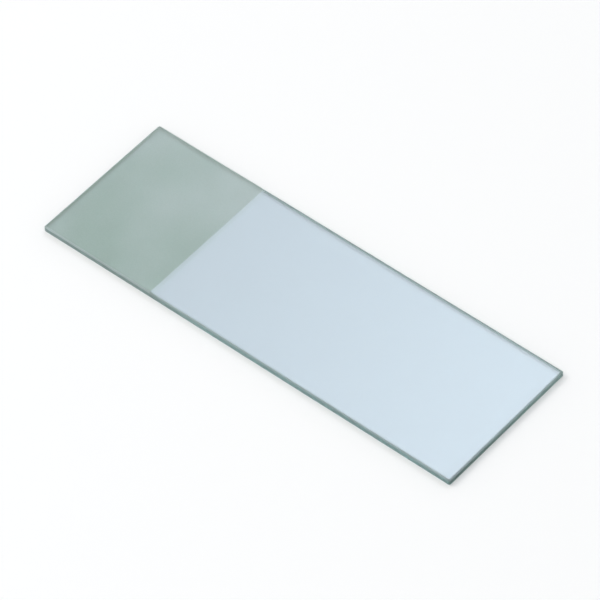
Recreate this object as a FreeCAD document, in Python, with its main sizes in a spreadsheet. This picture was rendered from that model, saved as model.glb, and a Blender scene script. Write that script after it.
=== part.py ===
# A microscope slide: one plate of clear soda-lime glass.
#
# The plate is cut from drawn sheet, its corners are touched round and its edges are ground
# and bevelled, and the top face of one end is frosted, as a field to write on in pencil.
#
# Frame: the origin is the middle of the underside. X runs along the length, with the frosted
# end at -X, Y runs across the width and Z goes up through the glass. Millimetres.
import FreeCAD, Part
import os

import Sketcher

NODE = "glass_slide"

# alias, millimetres, what it measures
DIMENSIONS = [
    ("slide_length", 76.2, "plate along X, three inches"),
    ("slide_width", 25.4, "plate along Y, one inch"),
    ("glass_thickness", 1.1, "plate along Z, underside to clear face"),
    ("corner_radius", 0.3, "round of the four upright corners"),
    ("arris_bevel", 0.2, "leg of the 45 degree bevel on each ground arris"),
    ("frosted_length", 20.5, "frosted field along X, from the plate's end"),
    ("frosting_depth", 0.02, "how far the frosting lies below the clear face"),
]


def make_dimension_sheet(document):
    """Put the driving dimensions in a spreadsheet: name, aliased value, note."""
    sheet = document.addObject("Spreadsheet::Sheet", "dimensions")
    for row, (alias, value, note) in enumerate(DIMENSIONS, start=1):
        sheet.set(f"A{row}", alias)
        sheet.set(f"B{row}", str(value))
        sheet.set(f"C{row}", note)
        sheet.setAlias(f"B{row}", alias)
    document.recompute()
    return sheet


def origin_plane(body, role):
    """The body's own origin plane with this role."""
    return next(plane for plane in body.Origin.OriginFeatures if plane.Role == role)


def add_rectangle(body, name, to_left, to_front, length, width):
    """A rectangle on the body's XY plane, bound to the spreadsheet by four expressions:
    how far its left and front sides lie from the origin, its length and its width."""
    sketch = body.newObject("Sketcher::SketchObject", name)
    sketch.AttachmentSupport = [(origin_plane(body, "XY_Plane"), "")]
    sketch.MapMode = "FlatFace"

    corners = [FreeCAD.Vector(x, y, 0) for x, y in ((-2, -1), (2, -1), (2, 1), (-2, 1))]
    for start, end in zip(corners, corners[1:] + corners[:1]):
        sketch.addGeometry(Part.LineSegment(start, end), False)
    front, right, back, left = range(4)
    start_point, end_point, origin = 1, 2, (-1, 1)
    for side, following in ((front, right), (right, back), (back, left), (left, front)):
        sketch.addConstraint(
            Sketcher.Constraint("Coincident", side, end_point, following, start_point))
    for side, direction in (
            (front, "Horizontal"), (right, "Vertical"), (back, "Horizontal"), (left, "Vertical")):
        sketch.addConstraint(Sketcher.Constraint(direction, side))

    corner, front_end, right_end = (front, start_point), (front, end_point), (right, end_point)
    sizes = (
        ("to_left", "DistanceX", corner, origin, 2.0, to_left),
        ("to_front", "DistanceY", corner, origin, 1.0, to_front),
        ("length", "DistanceX", corner, front_end, 4.0, length),
        ("width", "DistanceY", front_end, right_end, 2.0, width),
    )
    for title, kind, near, far, drawn, expression in sizes:
        index = sketch.addConstraint(Sketcher.Constraint(kind, *near, *far, drawn))
        sketch.renameConstraint(index, title)
        sketch.setExpression(f"Constraints.{title}", expression)
    return sketch


def edges_where(feature, belongs):
    """Names of the feature's edges whose every point passes the test."""
    names = []
    for number, edge in enumerate(feature.Shape.Edges, start=1):
        if all(belongs(point) for point in edge.discretize(3)):
            names.append(f"Edge{number}")
    return names


document = FreeCAD.newDocument("microscope_slide")
sheet = make_dimension_sheet(document)

body = document.addObject("PartDesign::Body", "slide_body")
body.Label = NODE

# The plate, cut from the sheet and centred on the origin.
plate_outline = add_rectangle(
    body, "plate_outline",
    to_left="dimensions.slide_length / 2", to_front="dimensions.slide_width / 2",
    length="dimensions.slide_length", width="dimensions.slide_width")

plate = body.newObject("PartDesign::Pad", "plate")
plate.Profile = plate_outline
plate.setExpression("Length", "dimensions.glass_thickness")
document.recompute()

# The upright corners, touched round on the wheel.
half_length = sheet.slide_length / 2
half_width = sheet.slide_width / 2
SAME_PLACE = 1e-6


def on_upright_corner(point):
    return (abs(abs(point.x) - half_length) < SAME_PLACE
            and abs(abs(point.y) - half_width) < SAME_PLACE)


corners = body.newObject("PartDesign::Fillet", "rounded_corners")
corners.Base = (plate, edges_where(plate, on_upright_corner))
corners.setExpression("Radius", "dimensions.corner_radius")
document.recompute()


# The bevels along both arrises, all the way round.
def on_either_arris(point):
    return (abs(point.z) < SAME_PLACE
            or abs(point.z - sheet.glass_thickness) < SAME_PLACE)


bevels = body.newObject("PartDesign::Chamfer", "bevelled_arrises")
bevels.Base = (corners, edges_where(corners, on_either_arris))
bevels.ChamferType = "Equal distance"
bevels.setExpression("Size", "dimensions.arris_bevel")
document.recompute()

# The frosted field: the top face of the -X end, taken down by the depth of the frosting.
frosted_outline = add_rectangle(
    body, "frosted_outline",
    to_left="dimensions.slide_length / 2", to_front="dimensions.slide_width / 2",
    length="dimensions.frosted_length", width="dimensions.slide_width")
frosted_outline.setExpression("AttachmentOffset.Base.z", "dimensions.glass_thickness")

frosting = body.newObject("PartDesign::Pocket", "frosted_field")
frosting.Profile = frosted_outline
frosting.setExpression("Length", "dimensions.frosting_depth")
body.Tip = frosting
document.recompute()

# Nothing is written from a model that has failed anywhere.
for item in document.Objects:
    if "Invalid" in item.State or "Error" in item.State:
        raise RuntimeError(f"{item.Name} failed: {item.State}")
if body.Shape.isNull() or not body.Shape.isValid() or len(body.Shape.Solids) != 1:
    raise RuntimeError(f"{body.Label} is not one valid solid")
if not frosting.Shape.Volume < bevels.Shape.Volume < corners.Shape.Volume < plate.Shape.Volume:
    raise RuntimeError("a ground or frosted feature took no glass away")

os.makedirs("parts", exist_ok=True)
body.Shape.exportStep(f"parts/{body.Label}.step")
box = body.Shape.BoundBox
print(f"{body.Label}: {box.XLength:.3f} x {box.YLength:.3f} x {box.ZLength:.3f} mm, "
      f"{body.Shape.Volume:.3f} cubic mm, {len(body.Shape.Faces)} faces")
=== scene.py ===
import math

import bmesh
import bpy
import numpy as np
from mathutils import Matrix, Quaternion, Vector


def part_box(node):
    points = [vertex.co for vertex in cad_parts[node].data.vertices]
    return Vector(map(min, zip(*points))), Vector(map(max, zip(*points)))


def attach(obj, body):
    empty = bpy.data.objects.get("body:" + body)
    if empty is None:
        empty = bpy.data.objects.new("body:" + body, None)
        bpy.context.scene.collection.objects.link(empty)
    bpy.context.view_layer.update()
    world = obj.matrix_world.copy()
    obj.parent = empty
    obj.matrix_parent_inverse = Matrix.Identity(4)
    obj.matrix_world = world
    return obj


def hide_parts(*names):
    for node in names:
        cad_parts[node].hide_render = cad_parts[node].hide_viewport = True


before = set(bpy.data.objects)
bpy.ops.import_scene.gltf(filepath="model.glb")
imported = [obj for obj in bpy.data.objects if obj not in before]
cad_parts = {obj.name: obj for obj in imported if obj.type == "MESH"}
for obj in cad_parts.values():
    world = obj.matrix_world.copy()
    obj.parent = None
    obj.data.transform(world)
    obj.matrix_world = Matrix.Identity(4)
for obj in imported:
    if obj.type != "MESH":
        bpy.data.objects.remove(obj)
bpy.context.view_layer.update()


# ----------------------------------------------------------------------------------------
# The slide: one plate of drawn soda-lime glass, cut to size. A wheel has ground its four
# edges flat and bevelled both arrises all the way round, and one end of its top face is
# blasted matt under a mask, two hundredths of a millimetre deep, as a field to write on.
# ----------------------------------------------------------------------------------------
MM = 0.001

low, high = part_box("glass_slide")
half_length = (high.x - low.x) / 2
half_width = (high.y - low.y) / 2
thickness = high.z - low.z

corner_radius = 0.3 * MM
bevel = 0.2 * MM
arris_round = 0.03 * MM       # what the wheel leaves at each border of a bevel
frosted_length = 20.5 * MM
frosting_depth = 0.02 * MM
frosting_fade = 0.12 * MM     # the strip over which the blasting thins out at the mask
edge_wander = 0.010 * MM      # how far a side strays inwards from a true line
bevel_wander = 0.25           # how much a bevel's width varies, as a share of it
slowest_wave, quickest_wave = 4, 160    # how many waves of these go once round the plate
bevel_seeds, side_seed = (11, 12), 13

point_spacing = 0.2 * MM
join_distance = 0.0001 * MM
corner_points = 7             # round a corner of the plate
arris_points = 4              # round one arris, and the edge has two at each bevel
fade_points = 5               # across the frosting's fade
face_steps = 8                # even steps from a face's middle line out to its border
last_ring = 0.995             # and one more ring, this share of the way out

face_rings = np.append(np.linspace(0, 1, face_steps, endpoint=False), last_ring)
face_rows, edge_rows = len(face_rings), 4 * arris_points
fade_columns = frosted_length - half_length + frosting_fade * np.linspace(-0.5, 0.5, fade_points)


def ramp(start, end, value):
    """From 0 at start to 1 at end, level at both: three squares less two cubes."""
    share = np.clip((value - start) / (end - start), 0, 1)
    return share * share * (3 - 2 * share)


def evenly(start, end):
    """Numbers between start and end, about point_spacing apart, without the two ends."""
    return np.linspace(start, end, round(abs(end - start) / point_spacing) + 1)[1:-1]


def outline():
    """Points round the plate, anticlockwise from its front left corner. For each, it gives
    where the centre of the corner rounds passes, and the direction straight out from there.
    A side keeps one direction, and a corner's centre stays while its direction turns."""
    reach_x, reach_y = half_length - corner_radius, half_width - corner_radius
    along = np.concatenate([
        evenly(-reach_x, fade_columns[0]), fade_columns, evenly(fade_columns[-1], reach_x)])
    across = evenly(-reach_y, reach_y)
    turn = np.linspace(0, 90, corner_points)
    stretches = [
        (along, -reach_y, -90), (reach_x, -reach_y, turn - 90),
        (reach_x, across, 0), (reach_x, reach_y, turn),
        (along[::-1], reach_y, 90), (-reach_x, reach_y, turn + 90),
        (-reach_x, across[::-1], 180), (-reach_x, -reach_y, turn + 180),
    ]
    x, y, heading = np.concatenate([np.stack(np.broadcast_arrays(*s)) for s in stretches], 1)
    heading = np.radians(heading)
    return np.stack([x, y], 1), np.stack([np.cos(heading), np.sin(heading)], 1)


def wander(seed, count):
    """An uneven closed line between 0 and 1: a sum of sine waves that each fit a whole number
    of times round the plate, at chance phases, and weaker by the root of that number."""
    chance = np.random.default_rng(seed)
    waves = np.arange(slowest_wave, quickest_wave)
    turns = np.linspace(0, 2 * np.pi, count, endpoint=False)
    phases = chance.uniform(0, 2 * np.pi, len(waves))
    heights = chance.normal(0, 1, len(waves)) / np.sqrt(waves)
    line = heights @ np.sin(waves[:, None] * turns + phases[:, None])
    return (line - line.min()) / np.ptp(line)


def half_section(bevel_here):
    """The lower half of the ground edge in section, for each point of the outline: how far in
    from the side, and how high. It has one round where the underside meets the bevel and one
    where the bevel meets the side. Each turns 45 degrees, so it starts the tangent of half
    that, times its radius, before the corner that it takes off."""
    setback = bevel_here + arris_round * math.tan(math.radians(45 / 2))
    level = np.zeros_like(bevel_here)
    turn = np.radians(np.linspace(-90, 0, 2 * arris_points - 1))[:, None]
    foot, shoulder = turn[:arris_points], turn[arris_points - 1:]
    inset = np.concatenate([
        setback - arris_round * np.cos(foot), level + arris_round * (1 - np.cos(shoulder))])
    rise = np.concatenate([
        level + arris_round * (1 + np.sin(foot)), setback + arris_round * np.sin(shoulder)])
    return inset, rise


def ground_edge(centres, outward):
    """The section carried round the outline: rows go up the edge, and columns round it. A
    point lies out from its centre by the corner radius, less how far in its section is."""
    count = len(centres)
    widths = [bevel * (1 + bevel_wander * (wander(seed, count) - 0.5)) for seed in bevel_seeds]
    (low_inset, low_rise), (high_inset, high_rise) = map(half_section, widths)
    inset = np.concatenate([low_inset, high_inset[::-1]]) + edge_wander * wander(side_seed, count)
    height = np.concatenate([low_rise, thickness - high_rise[::-1]])
    place = centres + outward * (corner_radius - inset)[..., None]
    return np.concatenate([place, height[..., None]], -1)


def ruled_face(border):
    """A face with straight lines from the plate's middle line out to its border, at the
    border's height. The middle line stops half a width short of the ends, so that the lines
    to an end fan out from one point."""
    limit = half_length - half_width
    middle = np.clip(border[:, :1], -limit, limit) * (1, 0)
    flat = middle + (border[:, :2] - middle) * face_rings[:, None, None]
    level = np.broadcast_to(border[:, 2:], (*flat.shape[:2], 1))
    return np.concatenate([flat, level], -1)


def slide_sheet():
    """The whole surface as one sheet. Rows start on the middle line of the underside, run out
    to the edge, up it, and back in over the top to the middle line, and columns go round.
    Where the plate is blasted, from 0 to 1, nothing stands higher than the thickness less
    that share of the frosting's depth."""
    edge = ground_edge(*outline())
    sheet = np.concatenate([ruled_face(edge[0]), edge, ruled_face(edge[-1])[::-1]])
    blasted = 1 - ramp(fade_columns[0], fade_columns[-1], sheet[..., 0])
    sheet[..., 2] = np.minimum(sheet[..., 2], thickness - frosting_depth * blasted)
    return sheet, blasted


def finish_masks(blasted):
    """Where each finish lies: 1 on the rows of the ground edge, 1 on those of its side, which
    starts in the middle of a shoulder's round, and as much as the plate is blasted on the rows
    of the edge and of the top."""
    side_start = arris_points + arris_points // 2
    ground = np.pad(np.ones(edge_rows), face_rows)
    side = np.pad(np.ones(edge_rows - 2 * side_start), face_rows + side_start)
    exposed = np.repeat([0, 1], [face_rows, edge_rows + face_rows])
    return {
        "ground": np.broadcast_to(ground[:, None], blasted.shape),
        "side": np.broadcast_to(side[:, None], blasted.shape),
        "blasted": exposed[:, None] * blasted,
    }


def wheel_path(edge):
    """How far round the plate each column is and how far up the edge each row: the steps
    along the edge's lowest row and up its first column, added up. A face keeps the height at
    which it meets the edge."""
    pace = np.linalg.norm(np.roll(edge[0], -1, 0) - edge[0], axis=1)
    climb = np.linalg.norm(np.diff(edge[:, 0], axis=0), axis=1)
    around = np.append(0, np.cumsum(pace))
    up = np.pad(np.append(0, np.cumsum(climb)), face_rows, mode="edge")
    return around, up


def make_slide():
    """The sheet as a mesh, closed round the plate. Points that meet on a middle line are
    joined. The masks are attributes, and the wheel's path is the UV map."""
    sheet, blasted = slide_sheet()
    rows, columns = blasted.shape
    row, column = (index.ravel() for index in np.mgrid[:rows - 1, :columns])
    beside = (column + 1) % columns
    quads = np.stack([
        row * columns + column, row * columns + beside,
        (row + 1) * columns + beside, (row + 1) * columns + column], 1)
    mesh = bpy.data.meshes.new("ground_glass_slide")
    mesh.from_pydata(sheet.reshape(-1, 3), [], quads)
    for name, mask in finish_masks(blasted).items():
        values = mask.astype(np.float32).ravel()
        mesh.attributes.new(name, "FLOAT", "POINT").data.foreach_set("value", values)

    around, up = wheel_path(sheet[face_rows:-face_rows])
    u = around[np.stack([column, column + 1, column + 1, column], 1)]
    v = up[np.stack([row, row, row + 1, row + 1], 1)]
    mesh.uv_layers.new(name="wheel_path").uv.foreach_set("vector", np.stack([u, v], -1).ravel())
    on_edge = (row >= face_rows) & (row < face_rows + edge_rows - 1)
    mesh.polygons.foreach_set("use_smooth", on_edge)

    work = bmesh.new()
    work.from_mesh(mesh)
    bmesh.ops.remove_doubles(work, verts=work.verts, dist=join_distance)
    bmesh.ops.recalc_face_normals(work, faces=work.faces)
    work.to_mesh(mesh)
    work.free()
    return mesh


polished_colour = (0.707, 0.770, 0.821, 1)     # the fire polish of the drawn sheet
# The ground edge's colours below are darker than its glass: painted shade, for the dark lines that
# its bevels and side show.
painted_shade_bevel = (0.440, 0.520, 0.510, 1)
blasted_bevel_painted_light = (0.720, 0.800, 0.785, 1)       # paler at the blasted end: partly the blasting on the bevels, partly painted light that lifts the shade under the edge there
painted_shade_side_dark = (0.275, 0.365, 0.360, 1)           # painted shade, darker in the wheel's marks and lighter between them
painted_shade_side_light = (0.365, 0.475, 0.470, 1)
frosted_dark = (0.345, 0.452, 0.376, 1)        # where the blasting took more, and less
frosted_light = (0.553, 0.618, 0.580, 1)
body_colour = (0.30, 0.66, 0.60, 1)            # the tint that deepens with the way through
body_density = 20.0
refraction = 1.52

cloud_scale, cloud_detail = 45.0, 3.0          # the blasting's soft unevenness
grain_scale, grain_detail = 8000.0, 2.0        # its sugary grain
grain_share = 0.25                             # how much of its colour is grain, not clouds
mark_scale = (220.0, 22000.0, 1.0)             # the wheel's marks, long round the plate
mark_detail = 4.0
noise_low, noise_high = 0.36, 0.64             # most of a noise lies between these
relief_height = 0.005 * MM                     # of the marks and of the grain
smoothest, roughest = 0.42, 0.54               # the finish that both of them leave


def add_node(tree, kind, inputs=(), **settings):
    """Adds a node with these settings. inputs maps its sockets, by name or number, to their
    values, and a value that is another node's output is linked."""
    node = tree.nodes.new(kind)
    for name, value in settings.items():
        setattr(node, name, value)
    for name, value in dict(inputs).items():
        if isinstance(value, bpy.types.NodeSocket):
            tree.links.new(value, node.inputs[name])
        else:
            node.inputs[name].default_value = value
    return node


def make_glass():
    """Clear glass all through. Masks on the mesh tell its finishes apart: polished, matt from
    the wheel with marks that run round the edge, and matt from the blasting with a grain."""
    material = bpy.data.materials.new("soda_lime_glass")
    material.use_nodes = True
    tree = material.node_tree
    shader = tree.nodes["Principled BSDF"]
    shader.inputs["Transmission Weight"].default_value = 1.0
    shader.inputs["IOR"].default_value = refraction
    ground, side, blasted = (
        add_node(tree, "ShaderNodeAttribute", attribute_name=name).outputs["Fac"]
        for name in ("ground", "side", "blasted"))

    def mix(share, first, second, kind="RGBA"):
        """All first where share is 0, and all second where it is 1."""
        inputs = {"Factor": share, "A": first, "B": second}
        return add_node(tree, "ShaderNodeMix", inputs, data_type=kind).outputs["Result"]

    def noise(place, scale, detail):
        """A noise, stretched so that what lies between its usual ends fills 0 to 1."""
        inputs = {"Vector": place, "Scale": scale, "Detail": detail}
        raw = add_node(tree, "ShaderNodeTexNoise", inputs).outputs["Fac"]
        inputs = {"Value": raw, "From Min": noise_low, "From Max": noise_high}
        return add_node(tree, "ShaderNodeMapRange", inputs).outputs["Result"]

    place = add_node(tree, "ShaderNodeTexCoord").outputs["Object"]
    path = add_node(tree, "ShaderNodeUVMap", uv_map="wheel_path").outputs["UV"]
    drawn_out = add_node(tree, "ShaderNodeMapping", {"Vector": path, "Scale": mark_scale})
    marks = noise(drawn_out.outputs["Vector"], 1.0, mark_detail)
    grain = noise(place, grain_scale, grain_detail)
    clouds = noise(place, cloud_scale, cloud_detail)
    blasting = mix(grain_share, clouds, grain, "FLOAT")

    faces = mix(blasted, polished_colour, mix(blasting, frosted_dark, frosted_light))
    # The ground edge's bevels and side carry painted shade. At the blasted end the bevels are paler
    # again, partly as painted light.
    bevels = mix(blasted, painted_shade_bevel, blasted_bevel_painted_light)
    edges = mix(side, bevels, mix(marks, painted_shade_side_dark, painted_shade_side_light))
    tree.links.new(mix(ground, faces, edges), shader.inputs["Base Color"])

    relief = mix(ground, grain, marks, "FLOAT")
    matt = mix(ground, blasted, 1.0, "FLOAT")
    roughness = mix(matt, 0.0, mix(relief, smoothest, roughest, "FLOAT"), "FLOAT")
    tree.links.new(roughness, shader.inputs["Roughness"])
    height = mix(matt, 0.0, relief, "FLOAT")
    bump = add_node(tree, "ShaderNodeBump", {"Height": height, "Distance": relief_height})
    tree.links.new(bump.outputs["Normal"], shader.inputs["Normal"])

    body = add_node(
        tree, "ShaderNodeVolumeAbsorption", {"Color": body_colour, "Density": body_density})
    tree.links.new(body.outputs["Volume"], tree.nodes["Material Output"].inputs["Volume"])
    return material


scene = bpy.context.scene
slide = bpy.data.objects.new("ground_glass_slide", make_slide())
slide.data.materials.append(make_glass())
scene.collection.objects.link(slide)
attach(slide, "root")
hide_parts("glass_slide")


# ----------------------------------------------------------------------------------------
# The table: a sheet of white paper, which carries the slide's shadow. It is lit near the
# slide, and further off it fades into the even white of the studio.
# ----------------------------------------------------------------------------------------
table_reach = 4.0
table_gap = 0.05 * MM
paper_white = 0.74
studio_white = 0.985
fade_start, fade_end = 0.08, 0.35


def background_rays(tree):
    """1 for a ray that shows the background: one from the camera, or one that the glass has
    mirrored or let through on its way."""
    path = add_node(tree, "ShaderNodeLightPath").outputs
    shown = path["Is Camera Ray"]
    for kind in ("Is Glossy Ray", "Is Transmission Ray"):
        shown = add_node(
            tree, "ShaderNodeMath", {0: shown, 1: path[kind]}, operation="MAXIMUM").outputs[0]
    return shown


def make_table():
    """A square of paper just under the slide. What its fading colour leaves to be lit, its
    own white light makes up, but only where it is seen, so it adds nothing to the slide."""
    mesh = bpy.data.meshes.new("table")
    corners = [(x * table_reach, y * table_reach, -table_gap)
               for x, y in ((-1, -1), (1, -1), (1, 1), (-1, 1))]
    mesh.from_pydata(corners, [], [(0, 1, 2, 3)])
    material = bpy.data.materials.new("white_paper")
    material.use_nodes = True
    tree = material.node_tree
    shader = tree.nodes["Principled BSDF"]
    shader.inputs["Roughness"].default_value = 1.0
    shader.inputs["Specular IOR Level"].default_value = 0.0

    place = add_node(tree, "ShaderNodeTexCoord").outputs["Object"]
    distance = add_node(tree, "ShaderNodeVectorMath", {0: place}, operation="LENGTH")
    paper = add_node(
        tree, "ShaderNodeMapRange",
        {"Value": distance.outputs["Value"], "From Min": fade_start, "From Max": fade_end,
         "To Min": paper_white, "To Max": 0.0}, interpolation_type="SMOOTHSTEP").outputs["Result"]
    rest = add_node(
        tree, "ShaderNodeMath", {0: studio_white, 1: paper}, operation="SUBTRACT").outputs[0]
    glow = add_node(
        tree, "ShaderNodeMath", {0: rest, 1: background_rays(tree)}, operation="MULTIPLY")
    tree.links.new(paper, shader.inputs["Base Color"])
    tree.links.new(glow.outputs[0], shader.inputs["Emission Strength"])
    shader.inputs["Emission Color"].default_value = (1, 1, 1, 1)
    mesh.materials.append(material)
    table = bpy.data.objects.new("table", mesh)
    scene.collection.objects.link(table)
    return table


make_table()


# ----------------------------------------------------------------------------------------
# The studio: white walls that run into the table, a dimmer ceiling, and in the ceiling a
# broad pane of cool daylight with soft edges, which the polished face mirrors as a sheen.
# One large softbox stands to the front left.
# ----------------------------------------------------------------------------------------
wall_top, ceiling_start = 0.15, 0.60      # as the height of a direction of length 1
ceiling_white = 0.60
daylight_from = Vector((-0.22, 0.53, 0.82)).normalized()
daylight_inner, daylight_outer = math.radians(7), math.radians(17)
daylight_strength = 3.2
daylight_colour = (0.80, 0.91, 1.0, 1)
softbox_size = 0.5
softbox_power = 3.0
softbox_colour = (1.0, 0.985, 0.965)
softbox_place = Vector((-0.50, -0.35, 0.75))


def make_studio():
    """The walls' white falls to the ceiling's with the height of the direction, and the pane
    of daylight is added by the angle between the direction and its middle."""
    world = bpy.data.worlds.new("studio")
    world.use_nodes = True
    tree = world.node_tree
    direction = add_node(tree, "ShaderNodeTexCoord").outputs["Generated"]
    height = add_node(tree, "ShaderNodeSeparateXYZ", {0: direction}).outputs["Z"]
    facing = add_node(
        tree, "ShaderNodeVectorMath", {0: direction, 1: daylight_from}, operation="DOT_PRODUCT")

    def fall(value, start, end, first, last):
        """From first to last as the value goes from start to end, level at both ends."""
        inputs = {"Value": value, "From Min": start, "From Max": end, "To Min": first, "To Max": last}
        node = add_node(tree, "ShaderNodeMapRange", inputs, interpolation_type="SMOOTHSTEP")
        return node.outputs["Result"]

    walls = fall(height, wall_top, ceiling_start, studio_white, ceiling_white)
    pane = fall(facing.outputs["Value"], math.cos(daylight_outer), math.cos(daylight_inner),
                0.0, daylight_strength)
    room = tree.nodes["Background"]
    room.inputs["Color"].default_value = (1, 1, 1, 1)
    tree.links.new(walls, room.inputs["Strength"])
    sky = add_node(tree, "ShaderNodeBackground", {"Color": daylight_colour, "Strength": pane})
    both = add_node(tree, "ShaderNodeAddShader", {0: room.outputs[0], 1: sky.outputs[0]})
    tree.links.new(both.outputs[0], tree.nodes["World Output"].inputs["Surface"])
    return world


scene.world = make_studio()

softbox = bpy.data.objects.new("softbox", bpy.data.lights.new("softbox", "AREA"))
softbox.data.size = softbox_size
softbox.data.energy = softbox_power
softbox.data.color = softbox_colour
softbox.location = softbox_place
softbox.rotation_euler = softbox_place.to_track_quat("Z", "Y").to_euler()
scene.collection.objects.link(softbox)


# ----------------------------------------------------------------------------------------
# The camera: a long lens, up and out beyond the clear end's near corner, which looks across
# the slide to the frosted end. It is held a little askew, turned clockwise.
# ----------------------------------------------------------------------------------------
camera_azimuth = math.radians(43.4)
camera_elevation = math.radians(49.3)
camera_roll = math.radians(-3.9)
camera_distance = 0.744
film_width, lens_length = 36, 312         # both in millimetres
nearest_seen = 0.01

slide_middle = Vector((0, 0, thickness / 2))
towards_camera = Vector((
    math.sin(camera_azimuth) * math.cos(camera_elevation),
    -math.cos(camera_azimuth) * math.cos(camera_elevation),
    math.sin(camera_elevation)))
camera = bpy.data.objects.new("camera", bpy.data.cameras.new("camera"))
camera.data.sensor_width = film_width
camera.data.lens = lens_length
camera.data.clip_start = nearest_seen
camera.location = slide_middle + towards_camera * camera_distance
held_level = towards_camera.to_track_quat("Z", "Y")
camera.rotation_euler = (held_level @ Quaternion((0, 0, 1), camera_roll)).to_euler()
scene.collection.objects.link(camera)
scene.camera = camera
scene.view_settings.view_transform = "Standard"

# Light crosses the plate many times before it leaves at an edge, and the paper under clear
# glass is as bright as it should be only if the light through it isn't blurred.
glass_bounces = 40
scene.cycles.max_bounces = glass_bounces
scene.cycles.glossy_bounces = glass_bounces
scene.cycles.transmission_bounces = glass_bounces
scene.cycles.blur_glossy = 0
